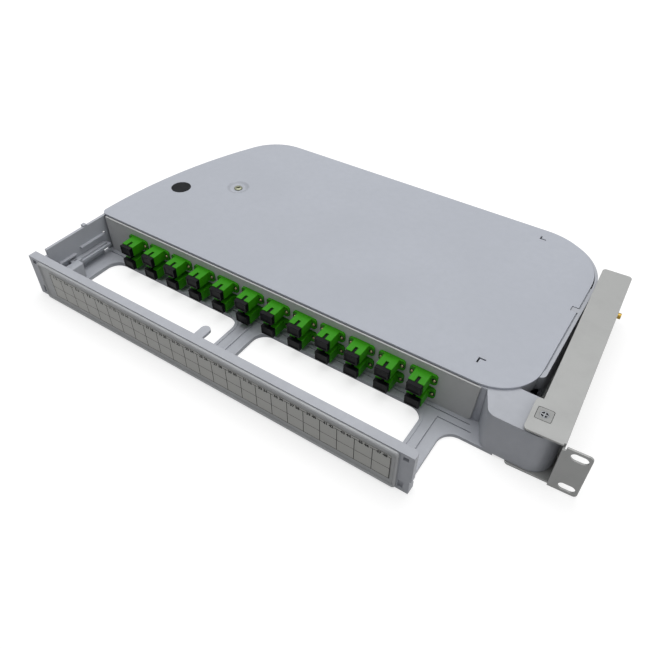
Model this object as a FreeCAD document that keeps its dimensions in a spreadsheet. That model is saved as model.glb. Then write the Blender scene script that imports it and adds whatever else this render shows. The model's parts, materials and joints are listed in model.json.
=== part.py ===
import FreeCAD, Part
import math
import os
import Sketcher

# Swing-out fibre optic patch and splice panel for one unit of a 19-inch rack.
# A moulded tray turns about an upright pivot in a sheet-metal bracket.
# Working frame of every function: millimetres, X to the right along the panel, Y to the rear, Z up.
# Its origin is the pivot axis at the underside of the bracket.
# The part's own origin is the middle of the ear's two rack slots, on the ear's rear face.

PLATE = "XY_Plane"
FRONT = "XZ_Plane"

SIZES = {
    # Rack bracket
    "bracket_height": 43.0,
    "sheet": 1.5,
    "bracket_front": 17.4,
    "bracket_rear": 177.3,
    "web_inner": 17.4,
    "flange_edge": 4.4,
    "pad_edge": 9.0,
    "pad_rear": 13.0,
    "foot_edge": 13.6,
    "bracket_corner": 3.0,
    "ear_edge": 37.0,
    "slot_from_pivot": 29.2,
    "slot_spacing": 31.75,
    "slot_length": 11.6,
    "slot_width": 6.8,
    "insert_rear": 130.0,
    "insert_height": 38.0,
    "insert_diameter": 4.8,
    "insert_bore": 3.3,
    "insert_reach": 2.6,
    "insert_web": 0.2,
    # Pivot
    "rest_angle": 2.7,
    "pivot_diameter": 6.4,
    "pivot_fit": 0.08,
    "bush_side": 11.0,
    "cross_diameter": 5.0,
    "cross_width": 0.9,
    "pivot_depth": 10.0,
    "boss_diameter": 12.0,
    "boss_depth": 11.0,
    "seat_gap": 0.3,
    "overrun": 1.0,
    "full_round": 0.999,
    # Tray
    "swing_radius": 424.5,
    "lid_overhang": 1.5,
    "wall": 2.5,
    "floor": 3.0,
    "tray_right": 10.9,
    "tray_rear": 204.6,
    "rear_right_round": 55.0,
    "rear_left_round": 44.0,
    "side_wall_start": 38.0,
    "rim_rise": 1.6,
    "rim_tail_start": 32.0,
    "rim_tail_round": 5.0,
    "corner_wall_inset": 0.5,
    "corner_wall_bottom": 28.5,
    "ledge_width": 3.0,
    # Front bar
    "bar_past_tray": 1.0,
    "bar_right": 54.5,
    "bar_front": 76.4,
    "bar_back": 68.9,
    "bar_below_bracket": 3.0,
    "bar_skin": 2.5,
    "bar_end_step": 1.2,
    "bar_end_height": 14.0,
    "bar_hole": 4.0,
    "bar_hole_inset": 6.0,
    "bar_slot_height": 7.0,
    "bar_slot_depth": 1.6,
    "bar_slot_shift": 1.5,
    "bar_ribs": 11,
    "tab_offset": -1.0,
    "tab_width": 8.0,
    "tab_reach": 12.0,
    # Cable windows and arms
    "arm_right": 58.5,
    "arm_round": 12.0,
    "window_front": 61.0,
    "window_back": 9.5,
    "window_right_edge": 77.6,
    "cross_bar_width": 22.0,
    "cross_bar_offset": 1.4,
    "left_arm_width": 22.9,
    "window_round": 12.0,
    "lip_width": 2.7,
    "lip_height": 0.7,
    "ridge_width": 2.0,
    "ridge_height": 1.2,
    "groove_width": 0.9,
    "groove_depth": 1.0,
    "arm_wall_front": 62.0,
    "arm_ledge_height": 13.5,
    "arm_ledge_width": 6.5,
    "arm_hole": 6.0,
    "arm_upper_hole": 21.5,
    "guide_rise": 9.0,
    "guide_width": 3.0,
    "guide_step": 3.0,
    # Pivot housing
    "housing_radius": 16.4,
    "housing_left": 41.5,
    "housing_shoulder": 5.0,
    "housing_corner": 31.9,
    "housing_round": 8.0,
    "housing_skin": 2.2,
    # Adapter plate and adapters
    "plate_face": 1.2,
    "plate_thickness": 1.5,
    "plate_inset": 6.9,
    "plate_right": 44.8,
    "plate_slant": 2.0,
    "plate_lip": 0.2,
    "plate_round": 3.0,
    "adapter_inset": 48.8,
    "adapter_last": 86.73,
    "adapter_columns": 12,
    "row_drop": 0.4,
    "row_pitch": 14.3,
    "adapter_width": 12.8,
    "adapter_height": 9.3,
    "adapter_nose": 12.0,
    "adapter_tail": 13.4,
    "adapter_gap": 0.2,
    "flange_width": 22.2,
    "flange_height": 9.8,
    "flange_thickness": 2.0,
    "flange_cut": 1.5,
    "port_width": 9.0,
    "port_height": 7.4,
    "port_depth": 10.8,
    "key_width": 2.6,
    "key_length": 6.0,
    "sleeve_diameter": 5.0,
    "sleeve_sides": 8,
    # Dust caps
    "cap_width": 11.8,
    "cap_height": 8.4,
    "cap_grip": 3.6,
    "cap_plug": 6.0,
    "cap_gap": 0.15,
    "cap_rim": 1.3,
    "cap_recess": 0.5,
    # Label plate
    "label_left_inset": 12.0,
    "label_right_inset": 10.5,
    "label_thickness": 1.4,
    "label_bottom": 1.0,
    "label_rim": 2.2,
    "label_rim_height": 1.0,
    "label_edge_round": 0.8,
    "strip_left_inset": 13.8,
    "strip_right_inset": 4.7,
    "strip_thickness": 0.4,
    "strip_margin": 5.2,
    "strip_head": 3.6,
    # Lid
    "lid_thickness": 2.0,
    "lid_gap": 0.5,
    "lid_front": 3.2,
    "lid_right": 14.4,
    "lid_front_round": 36.0,
    "lid_left_round": 6.0,
    "notch_place": 115.5,
    "notch_length": 6.0,
    "notch_depth": 5.0,
    "notch_gap": 0.4,
    "mark_length": 5.6,
    "mark_width": 1.3,
    "mark_ratio": 0.8,
    "front_mark_left": 57.5,
    "front_mark_rear": 25.2,
    "rear_mark_left": 72.2,
    "rear_mark_inset": 13.9,
    "lid_screw_inset": 77.5,
    "lid_screw_rear": 108.0,
    "recess_diameter": 21.5,
    "recess_depth": 1.6,
    "recess_slope": 4.0,
    "lid_screw_head": 7.0,
    "lid_screw_shank": 4.0,
    "lid_screw_length": 11.0,
    "lid_boss_diameter": 9.0,
    "plug_inset": 31.5,
    "plug_rear": 76.6,
    "plug_head": 19.0,
    # Side latch
    "latch_front": 46.0,
    "latch_length": 9.0,
    "latch_width": 7.0,
    "latch_height": 3.4,
    "latch_tongue": 31.0,
    "latch_tongue_width": 4.0,
    "latch_tongue_height": 2.0,
    # Inside the splice compartment
    "drum_radius": 28.0,
    "drum_height": 22.0,
    "drum_wall": 2.0,
    "drum_tab": 8.0,
    "drum_sides": 32,
    "left_drum_inset": 80.5,
    "left_drum_from_rear": 51.8,
    "right_drum_place": 66.0,
    "right_drum_from_rear": 56.8,
    "holder_length": 62.0,
    "holder_width": 46.0,
    "holder_base": 2.0,
    "holder_comb": 8.0,
    "holder_slots": 12,
    "holder_slot_width": 2.6,
    "holder_slot_floor": 2.0,
    "holder_from_rear": 84.8,
    "clamp_place": 48.0,
    "clamp_rear": 62.0,
    "clamp_length": 34.0,
    "clamp_width": 14.0,
    "clamp_height": 9.0,
    "clamp_bar_height": 3.0,
    "clamp_groove": 6.0,
    "clamp_screw": 3.0,
    "clamp_screw_head": 5.6,
    "clamp_screw_spacing": 24.0,
}

doc = FreeCAD.newDocument("PatchPanel")
sheet = doc.addObject("Spreadsheet::Sheet", "Sizes")
nodes = []


class Size:
    """A length from the sheet, or a sum of such lengths, with the expression that gives it."""

    def __init__(self, value, text):
        self.value = float(value)
        self.text = text

    def __add__(self, other):
        other = as_size(other)
        return Size(self.value + other.value, f"({self.text} + {other.text})")

    def __sub__(self, other):
        other = as_size(other)
        return Size(self.value - other.value, f"({self.text} - {other.text})")

    def __mul__(self, factor):
        factor = as_size(factor)
        return Size(self.value * factor.value, f"({self.text} * {factor.text})")

    def __truediv__(self, factor):
        factor = as_size(factor)
        return Size(self.value / factor.value, f"({self.text} / {factor.text})")

    def __neg__(self):
        return Size(-self.value, f"(0 - {self.text})")

    def __radd__(self, other):
        return as_size(other) + self

    def __rsub__(self, other):
        return as_size(other) - self

    def __rmul__(self, other):
        return as_size(other) * self


def as_size(number):
    """A plain number as a size."""
    return number if isinstance(number, Size) else Size(number, repr(float(number)))


class Sheet:
    """The named sizes, as attributes."""

    def __getattr__(self, alias):
        return Size(SIZES[alias], f"Sizes.{alias}")


s = Sheet()


def fill_sheet():
    """Write every named size into the spreadsheet, its name beside it."""
    for row, (alias, value) in enumerate(SIZES.items(), start=1):
        sheet.set(f"A{row}", alias)
        sheet.set(f"B{row}", str(value))
        sheet.setAlias(f"B{row}", alias)
    doc.recompute()


def bind(item, prop, length):
    """Tie one property to the sheet."""
    item.setExpression(prop, as_size(length).text)


def block(name, low, high):
    """A box between two corners."""
    item = doc.addObject("Part::Box", name)
    for prop, axis in (("Length", 0), ("Width", 1), ("Height", 2)):
        bind(item, prop, as_size(high[axis]) - low[axis])
    for axis in range(3):
        bind(item, f"Placement.Base.{'xyz'[axis]}", low[axis])
    return item


def rod(name, centre, radius, height):
    """An upright cylinder."""
    item = doc.addObject("Part::Cylinder", name)
    bind(item, "Radius", radius)
    bind(item, "Height", height)
    for axis in range(3):
        bind(item, f"Placement.Base.{'xyz'[axis]}", centre[axis])
    return item


def cone(name, centre, low_radius, high_radius, height):
    """An upright cone cut short, from its lower face."""
    item = doc.addObject("Part::Cone", name)
    bind(item, "Radius1", low_radius)
    bind(item, "Radius2", high_radius)
    bind(item, "Height", height)
    for axis in range(3):
        bind(item, f"Placement.Base.{'xyz'[axis]}", centre[axis])
    return item


def lying_rod(name, centre, radius, length, along):
    """A cylinder from a point along +X or +Y."""
    item = rod(name, centre, radius, length)
    turn = FreeCAD.Rotation(FreeCAD.Vector(0, 0, 1), FreeCAD.Vector(*along))
    item.Placement = FreeCAD.Placement(item.Placement.Base, turn)
    for axis in range(3):
        bind(item, f"Placement.Base.{'xyz'[axis]}", centre[axis])
    return item


def many_sided(name, centre, across, height, sides, along=(0, 0, 1)):
    """A prism with a regular outline, given by the width across its corners."""
    item = doc.addObject("Part::Prism", name)
    item.Polygon = sides
    bind(item, "Circumradius", as_size(across) / 2)
    bind(item, "Height", height)
    turn = FreeCAD.Rotation(FreeCAD.Vector(0, 0, 1), FreeCAD.Vector(*along))
    item.Placement = FreeCAD.Placement(item.Placement.Base, turn)
    for axis in range(3):
        bind(item, f"Placement.Base.{'xyz'[axis]}", centre[axis])
    return item


def joined(name, items):
    """Several solids made one."""
    item = doc.addObject("Part::MultiFuse", name)
    item.Shapes = items
    item.Refine = True
    return item


def common(name, items):
    """What two solids share."""
    item = doc.addObject("Part::MultiCommon", name)
    item.Shapes = items
    item.Refine = True
    return item


def less(name, base, tools):
    """A solid with others cut away."""
    item = doc.addObject("Part::Cut", name)
    item.Base = base
    item.Tool = tools[0] if len(tools) == 1 else joined(f"{name}_cutters", tools)
    item.Refine = True
    return item


def group(name, items):
    """Separate solids of one kind, kept together."""
    item = doc.addObject("Part::Compound", name)
    item.Links = items
    return item


def origin_plane(body, role):
    return next(p for p in body.Origin.OriginFeatures if p.Role == role)


def new_sketch(body, name, role, height):
    """A sketch on an origin plane of its own body, raised by a height."""
    sketch = body.newObject("Sketcher::SketchObject", name)
    sketch.AttachmentSupport = [(origin_plane(body, role), "")]
    sketch.MapMode = "FlatFace"
    bind(sketch, "AttachmentOffset.Base.z", height)
    return sketch


def corner_points(corners):
    """For each corner: the point, where its round starts and ends, the round's centre, its turn."""
    found = []
    count = len(corners)
    for index, corner in enumerate(corners):
        here = FreeCAD.Vector(as_size(corner[0]).value, as_size(corner[1]).value, 0)
        before = corners[index - 1]
        after = corners[(index + 1) % count]
        back = FreeCAD.Vector(as_size(before[0]).value, as_size(before[1]).value, 0) - here
        ahead = FreeCAD.Vector(as_size(after[0]).value, as_size(after[1]).value, 0) - here
        radius = as_size(corner[2]).value if len(corner) > 2 else 0.0
        if radius == 0.0:
            found.append((here, here, here, None, 0))
            continue
        back.normalize()
        ahead.normalize()
        half = back.getAngle(ahead) / 2
        reach = radius / math.tan(half)
        middle = (back + ahead).normalize()
        centre = here + middle * (radius / math.sin(half))
        turn = 1 if back.cross(ahead).z < 0 else -1
        found.append((here, here + back * reach, here + ahead * reach, centre, turn))
    return found


def fix_point(sketch, geometry, position, corner):
    """Tie a sketch point to its two coordinates."""
    for kind, axis in (("DistanceX", 0), ("DistanceY", 1)):
        length = as_size(corner[axis])
        rule = Sketcher.Constraint(kind, -1, 1, geometry, position, length.value)
        number = sketch.addConstraint(rule)
        sketch.setExpression(f"Constraints[{number}]", length.text)


def draw_outline(sketch, corners):
    """A closed outline through corners (x, y), or (x, y, radius) where the corner is round."""
    points = corner_points(corners)
    count = len(corners)
    lines = []
    for index, point in enumerate(points):
        following = points[(index + 1) % count]
        lines.append(sketch.addGeometry(Part.LineSegment(point[2], following[1]), False))
    for index, (corner, point) in enumerate(zip(corners, points)):
        before = lines[index - 1]
        after = lines[index]
        if point[3] is None:
            sketch.addConstraint(Sketcher.Constraint("Coincident", before, 2, after, 1))
            fix_point(sketch, after, 1, corner)
            continue
        draw_round(sketch, corner, point, before, after)


def draw_round(sketch, corner, point, before, after):
    """An arc in a corner, tangent to both its lines, which meet in a construction point."""
    here, start, end, centre, turn = point
    first, last = (start, end) if turn > 0 else (end, start)
    radius = as_size(corner[2])
    angles = [math.atan2((p - centre).y, (p - centre).x) for p in (first, last)]
    circle = Part.Circle(centre, FreeCAD.Vector(0, 0, 1), radius.value)
    arc = sketch.addGeometry(Part.ArcOfCircle(circle, angles[0], angles[1]), False)
    entry, leave = (1, 2) if turn > 0 else (2, 1)
    sketch.addConstraint(Sketcher.Constraint("Tangent", before, 2, arc, entry))
    sketch.addConstraint(Sketcher.Constraint("Tangent", arc, leave, after, 1))
    number = sketch.addConstraint(Sketcher.Constraint("Radius", arc, radius.value))
    sketch.setExpression(f"Constraints[{number}]", radius.text)
    mark = sketch.addGeometry(Part.Point(here), True)
    fix_point(sketch, mark, 1, corner)
    sketch.addConstraint(Sketcher.Constraint("PointOnObject", mark, 1, before))
    sketch.addConstraint(Sketcher.Constraint("PointOnObject", mark, 1, after))


def draw_circle(sketch, centre, radius):
    """A circle tied to its centre and radius."""
    radius = as_size(radius)
    middle = FreeCAD.Vector(as_size(centre[0]).value, as_size(centre[1]).value, 0)
    circle = Part.Circle(middle, FreeCAD.Vector(0, 0, 1), radius.value)
    number = sketch.addGeometry(circle, False)
    fix_point(sketch, number, 3, centre)
    rule = sketch.addConstraint(Sketcher.Constraint("Radius", number, radius.value))
    sketch.setExpression(f"Constraints[{rule}]", radius.text)


def pad(body, sketch, height, name="Pad"):
    """Raise a sketch to a height along its plane's normal."""
    feature = body.newObject("PartDesign::Pad", name)
    feature.Profile = sketch
    bind(feature, "Length", height)
    return feature


def prism(name, corners, bottom, height, holes=(), circles=()):
    """A body: one outline with holes, raised from a height."""
    body = doc.addObject("PartDesign::Body", name)
    sketch = new_sketch(body, f"{name}_outline", PLATE, bottom)
    draw_outline(sketch, corners)
    for hole in holes:
        draw_outline(sketch, hole)
    for centre, radius in circles:
        draw_circle(sketch, centre, radius)
    pad(body, sketch, height, f"{name}_pad")
    return body


def upright_prism(name, corners, back, depth, holes=(), circles=()):
    """A body: an outline in X and Z, from its back face forward by a depth."""
    body = doc.addObject("PartDesign::Body", name)
    sketch = new_sketch(body, f"{name}_outline", FRONT, -as_size(back))
    draw_outline(sketch, corners)
    for hole in holes:
        draw_outline(sketch, hole)
    for centre, radius in circles:
        draw_circle(sketch, centre, radius)
    pad(body, sketch, depth, f"{name}_pad")
    return body


def rectangle(left, front, right, back, radius=None):
    """The corners of a rectangle, anticlockwise."""
    points = [(left, front), (right, front), (right, back), (left, back)]
    return [p + (radius,) for p in points] if radius is not None else points


def vertical_edges(item, places):
    """The numbers of a solid's upright edges nearest to the given places."""
    doc.recompute()
    upright = []
    for number, edge in enumerate(item.Shape.Edges, start=1):
        ends = [v.Point for v in edge.Vertexes]
        if len(ends) == 2 and abs(ends[0].z - ends[1].z) > 0.9 * edge.Length:
            upright.append((number, ends[0]))
    chosen = []
    for x, y in places:
        nearest = min(upright, key=lambda e: math.hypot(e[1].x - x, e[1].y - y))
        chosen.append(nearest[0])
    return chosen


def rounded(name, item, radius, places):
    """A solid with some upright edges rounded."""
    result = doc.addObject("Part::Fillet", name)
    result.Base = item
    result.Edges = [(n, radius.value, radius.value) for n in vertical_edges(item, places)]
    return result


def front_edges_bevelled(name, item, radius):
    """A solid with the outermost edges of its front face bevelled."""
    doc.recompute()
    box = item.Shape.BoundBox
    chosen = []
    for number, edge in enumerate(item.Shape.Edges, start=1):
        span = edge.BoundBox
        in_front = span.YMax < box.YMin + radius.value / 10
        on_side = span.XMin > box.XMax - s.label_rim.value - radius.value
        on_side = on_side or span.XMax < box.XMin + s.label_rim.value + radius.value
        on_top = span.ZMin > box.ZMax - radius.value or span.ZMax < box.ZMin + radius.value
        if in_front and (on_top or on_side):
            chosen.append((number, radius.value, radius.value))
    result = doc.addObject("Part::Chamfer", name)
    result.Base = item
    result.Edges = chosen
    return result


def place(item, label, turned):
    """Name a finished piece and set it in the part's frame."""
    item.Label = label
    bind(item, "Placement.Base.x", -s.slot_from_pivot)
    bind(item, "Placement.Base.y", s.bracket_front)
    bind(item, "Placement.Base.z", -(s.bracket_height / 2))
    if turned:
        item.setExpression("Placement.Rotation.Angle", "-Sizes.rest_angle * 1 deg")
    nodes.append(item)
    return item


# Heights that follow from the sheet
lid_top = s.bracket_height - s.sheet - s.lid_gap
wall_top = lid_top - s.lid_thickness
tray_low = s.sheet + s.seat_gap
pivot_radius = s.pivot_diameter / 2
wall_radius = s.swing_radius - s.lid_overhang
bar_top = s.bracket_height - s.bar_below_bracket
plate_top = wall_top + s.plate_lip
guide_height = s.arm_ledge_height + s.guide_rise

# Places from the pivot to the left that follow from the tray's swept end
bar_left = s.swing_radius + s.bar_past_tray
window_left = s.swing_radius - s.left_arm_width
cross_bar = (window_left + s.window_right_edge) / 2 + s.cross_bar_offset
plate_left = s.swing_radius - s.plate_inset
adapter_first = s.swing_radius - s.adapter_inset
adapter_pitch = (adapter_first - s.adapter_last) / (s.adapter_columns - 1)
label_left = bar_left - s.label_left_inset
label_right = s.bar_right + s.label_right_inset
lid_screw_at = (s.lid_screw_inset - s.swing_radius, s.lid_screw_rear)
plug_centre = (s.plug_inset - s.swing_radius, s.plug_rear)
left_drum = (s.left_drum_inset - s.swing_radius, s.tray_rear - s.left_drum_from_rear)
right_drum = (-s.right_drum_place, s.tray_rear - s.right_drum_from_rear)


def bracket():
    """The rack bracket: a C of sheet metal with an ear at its front."""
    top = s.bracket_height
    right = s.web_inner + s.sheet
    upper = prism(
        "upper_flange",
        [
            (-s.pad_edge, -s.bracket_front, s.bracket_corner),
            (right, -s.bracket_front),
            (right, s.bracket_rear, s.bracket_corner),
            (-s.flange_edge, s.bracket_rear, s.bracket_corner),
            (-s.flange_edge, s.pad_rear),
            (-s.pad_edge, s.pad_rear, s.bracket_corner),
        ],
        top - s.sheet,
        s.sheet,
        holes=[rectangle(*bush_square(as_size(0)))],
    )
    lower = prism(
        "lower_flange",
        [
            (-s.foot_edge, -s.bracket_front, s.bracket_corner),
            (right, -s.bracket_front),
            (right, s.bracket_rear, s.bracket_corner),
            (-s.flange_edge, s.bracket_rear, s.bracket_corner),
            (-s.flange_edge, s.pad_rear),
            (-s.foot_edge, s.pad_rear, s.bracket_corner),
        ],
        0,
        s.sheet,
        holes=[rectangle(*bush_square(as_size(0)))],
    )
    web = block(
        "bracket_web",
        (s.web_inner, -s.bracket_front, 0),
        (right, s.bracket_rear - s.bracket_corner, top),
    )
    middle = top / 2
    slots = [slot(f"rack_slot_{n}", middle + s.slot_spacing * (n - 1.5)) for n in (1, 2)]
    ear = upright_prism(
        "rack_ear",
        [
            (s.web_inner, 0),
            (s.ear_edge, 0, s.bracket_corner),
            (s.ear_edge, top, s.bracket_corner),
            (s.web_inner, top),
        ],
        -s.bracket_front,
        s.sheet,
    )
    relief = block(
        "bend_relief",
        (s.web_inner, -s.bracket_front - s.sheet * 2, top - s.sheet * 2),
        (right + s.overrun, -s.bracket_front + s.sheet, top + s.overrun),
    )
    hole = lying_rod(
        "insert_hole",
        (s.web_inner - s.sheet, s.insert_rear, s.insert_height),
        s.insert_diameter / 2,
        s.sheet * 3,
        (1, 0, 0),
    )
    shell = joined("bracket_shell", [upper, lower, web, ear])
    place(less("bracket_body", shell, slots + [hole, relief]), "rack_bracket", False)


def bush_square(gap):
    """The square hole for a pivot bush, grown by a gap."""
    half = s.bush_side / 2 + gap
    return -half, -half, half, half


def slot(name, height):
    """A cutter for one level slot of the ear."""
    half = s.slot_length / 2
    radius = s.slot_width / 2
    corners = rectangle(
        s.slot_from_pivot - half,
        height - radius,
        s.slot_from_pivot + half,
        height + radius,
        radius * s.full_round,
    )
    return upright_prism(name, corners, s.sheet - s.bracket_front, s.sheet * 3)


def pivot_bushes():
    """A square bush in each flange, which also spaces the tray from the sheet."""
    half = s.bush_side / 2
    for label, low, high in (
        ("pivot_bush_top", wall_top, s.bracket_height),
        ("pivot_bush_bottom", as_size(0), tray_low),
    ):
        square = block(f"{label}_square", (-half, -half, low), (half, half, high))
        bore = rod(f"{label}_bore", (0, 0, low - s.overrun), pivot_radius + s.pivot_fit, s.bracket_height)
        place(less(f"{label}_body", square, [bore]), label, False)


def pivot_screws():
    """The two pivot pins: fixed in the tray's bosses, a cross left standing in the dished end of each."""
    across = s.cross_diameter
    thin = s.cross_width / 2
    for label, low, high, dish in (
        ("pivot_screw_top", wall_top - s.pivot_depth, s.bracket_height, s.bracket_height - s.sheet),
        ("pivot_screw_bottom", as_size(0), tray_low + s.pivot_depth, as_size(0)),
    ):
        pin = rod(f"{label}_pin", (0, 0, low), pivot_radius, high - low)
        recess = rod(f"{label}_recess", (0, 0, dish), s.cross_diameter / 2, s.sheet)
        blades = [
            block(f"{label}_blade_a", (-across, -thin, dish), (across, thin, dish + s.sheet)),
            block(f"{label}_blade_b", (-thin, -across, dish), (thin, across, dish + s.sheet)),
        ]
        quarters = less(f"{label}_quarters", recess, blades)
        place(less(f"{label}_body", pin, [quarters]), label, True)


def earth_insert():
    """A brass threaded standoff set in the bracket's web, closed at its inner end, for an earth lead."""
    outer = lying_rod(
        "earth_insert_barrel",
        (s.web_inner, s.insert_rear, s.insert_height),
        s.insert_diameter / 2,
        s.sheet + s.insert_reach,
        (1, 0, 0),
    )
    bore = lying_rod(
        "earth_insert_bore",
        (s.web_inner + s.sheet + s.insert_web, s.insert_rear, s.insert_height),
        s.insert_bore / 2,
        s.insert_reach,
        (1, 0, 0),
    )
    place(less("earth_insert_body", outer, [bore]), "earth_insert", False)


def compartment():
    """The shell behind the adapters: floor and walls, its free end swept about the pivot."""
    far = wall_radius + s.wall
    outline = [
        (-far, 0),
        (0, 0),
        (0, s.housing_radius),
        (-s.tray_right, s.side_wall_start),
        (-s.tray_right, s.tray_rear, s.rear_right_round),
        (-far, s.tray_rear),
    ]
    outer = prism("compartment_outline", outline, 0, wall_top)
    sweep = rod("swing_sweep", (0, 0, 0), wall_radius, wall_top)
    outer = common("compartment_block", [outer, sweep])
    back = s.tray_rear - s.wall
    inner_round = s.rear_right_round - s.wall
    hollow = prism(
        "compartment_hollow",
        [
            (-far, -s.wall),
            (s.wall, -s.wall),
            (s.wall, s.side_wall_start),
            (-s.tray_right - s.wall, s.side_wall_start),
            (-s.tray_right - s.wall, back, inner_round),
            (-far, back),
        ],
        s.floor,
        wall_top,
    )
    inner_sweep = rod("inner_sweep", (0, 0, 0), wall_radius - s.wall, wall_top * 2)
    hollow = common("compartment_space", [hollow, inner_sweep])
    corner = math.sqrt(wall_radius.value**2 - s.tray_rear.value**2)
    outer = rounded("compartment_rounded", outer, s.rear_left_round, [(-corner, s.tray_rear.value)])
    inner_corner = math.sqrt((wall_radius.value - s.wall.value) ** 2 - back.value**2)
    inner_left_round = s.rear_left_round - s.wall
    hollow = rounded("space_rounded", hollow, inner_left_round, [(-inner_corner, back.value)])
    return less("compartment_shell", outer, [hollow])


def side_rim():
    """The raised rim beside the lid, along the right-hand wall and its corner."""
    left = -s.tray_right - s.rear_right_round * 2
    outer = [
        (left, s.side_wall_start),
        (-s.tray_right, s.side_wall_start),
        (-s.tray_right, s.tray_rear, s.rear_right_round),
        (left, s.tray_rear),
    ]
    rim = prism("rim_block", outer, wall_top - s.wall, s.rim_rise + s.wall)
    inner = [
        (left - s.wall, 0),
        (-s.tray_right - s.wall, 0),
        (-s.tray_right - s.wall, s.tray_rear - s.wall, s.rear_right_round - s.wall),
        (left - s.wall, s.tray_rear - s.wall),
    ]
    hollow = prism("rim_hollow", inner, wall_top - s.wall * 2, s.rim_rise + s.wall * 3)
    clear = prism("rim_lid_clearance", lid_outline(s.seat_gap), wall_top, s.rim_rise * 2)
    return less("side_rim", rim, [hollow, clear])


def corner_wall():
    """The curved wall under the lid's right-hand corner, over the cable way."""
    low = s.corner_wall_bottom
    inset = -s.corner_wall_inset
    outline = prism("corner_wall_outline", lid_outline(inset), low, wall_top - low)
    reach = block(
        "corner_wall_reach",
        (-s.lid_right - s.lid_front_round, s.housing_radius - s.housing_skin, low),
        (-s.lid_right, s.side_wall_start + s.wall, wall_top),
    )
    inside = prism("corner_wall_inside", lid_outline(inset - s.wall), low - s.wall, wall_top)
    band = common("corner_wall_band", [outline, reach])
    return less("corner_wall", band, [inside])


def rim_tail():
    """The rounded front end of the raised rim, beside the lid's corner."""
    left = -s.lid_right - s.wall
    back = s.side_wall_start + s.wall
    low = s.corner_wall_bottom
    plan = [
        (left, s.rim_tail_start),
        (-s.tray_right, s.rim_tail_start, s.rim_tail_round),
        (-s.tray_right, back),
        (left, back),
    ]
    end = prism("rim_tail_block", plan, low, wall_top + s.rim_rise - low)
    clear = prism("rim_tail_clearance", lid_outline(s.seat_gap), wall_top, s.rim_rise * 2)
    return less("rim_tail", end, [clear])


def lid_ledge():
    """The step inside the right-hand wall that carries the lid's edge."""
    inner = -s.tray_right - s.wall - s.ledge_width
    return block(
        "lid_ledge",
        (inner, s.side_wall_start, wall_top - s.wall),
        (-s.tray_right - s.wall, s.tray_rear - s.rear_right_round, wall_top),
    )


def notch_tab():
    """A tab on the rim that stands in the lid's notch."""
    half = s.notch_length / 2 - s.notch_gap
    return block(
        "notch_tab",
        (-s.lid_right - s.notch_depth + s.notch_gap, s.notch_place - half, wall_top - s.wall),
        (-s.tray_right - s.wall / 2, s.notch_place + half, wall_top + s.rim_rise),
    )


def front_floor():
    """The floor in front of the adapters, with both arms and the cable windows."""
    left = -wall_radius
    return prism(
        "front_floor",
        [
            (left, -s.bar_back),
            (-s.arm_right, -s.bar_back),
            (-s.arm_right, -s.housing_radius, s.arm_round),
            (0, -s.housing_radius),
            (0, s.wall),
            (left, s.wall),
        ],
        0,
        s.floor,
        holes=[window_outline(*sides, as_size(0)) for sides in window_sides()],
    )


def window_sides():
    """Left and right edges of the two cable windows."""
    half = s.cross_bar_width / 2
    return [(-window_left, -cross_bar - half), (-cross_bar + half, -s.window_right_edge)]


def window_outline(left, right, grow):
    """A cable window seen from above, grown by the width of its lip."""
    return rectangle(
        left - grow, -s.window_front - grow, right + grow, -s.window_back + grow, s.window_round + grow
    )


def window_lips():
    """The low raised edge round each cable window."""
    return [
        prism(
            name,
            window_outline(*sides, s.lip_width),
            s.floor / 2,
            s.floor / 2 + s.lip_height,
            holes=[window_outline(*sides, as_size(0))],
        )
        for name, sides in zip(("left_window_lip", "right_window_lip"), window_sides())
    ]


def housing_outline(inset, rear):
    """The pivot housing seen from above, without its round end."""
    front = -s.housing_radius + inset
    return [
        (-s.housing_left + inset, rear),
        (-s.housing_left + inset, s.housing_shoulder),
        (-s.housing_corner + inset, front, s.housing_round - inset),
        (0, front),
        (0, rear),
    ]


def pivot_housing():
    """The hollow housing round the pivot, with bosses for the pivot pins and a cable way at the rear."""
    skin = s.housing_skin
    rear = s.housing_radius
    shell = joined(
        "housing_block",
        [
            prism("housing_plan", housing_outline(as_size(0), rear), 0, wall_top),
            rod("housing_end", (0, 0, 0), s.housing_radius, wall_top),
        ],
    )
    cavity = joined(
        "housing_cavity",
        [
            prism(
                "housing_inside",
                housing_outline(skin, rear + skin),
                s.floor,
                wall_top - s.floor - skin,
            ),
            rod("housing_end_inside", (0, 0, s.floor), s.housing_radius - skin, wall_top - s.floor - skin),
        ],
    )
    cable_way = block(
        "housing_cable_way",
        (0, pivot_radius * 2, s.floor),
        (s.housing_radius + skin, s.housing_radius + skin, wall_top - skin),
    )
    hollow = less("housing_hollow", shell, [cavity, cable_way])
    boss = s.boss_diameter / 2
    return joined(
        "housing_with_bosses",
        [
            hollow,
            rod("top_boss", (0, 0, wall_top - s.boss_depth), boss, s.boss_depth),
            rod("bottom_boss", (0, 0, s.floor / 2), boss, s.boss_depth),
        ],
    )


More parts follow.
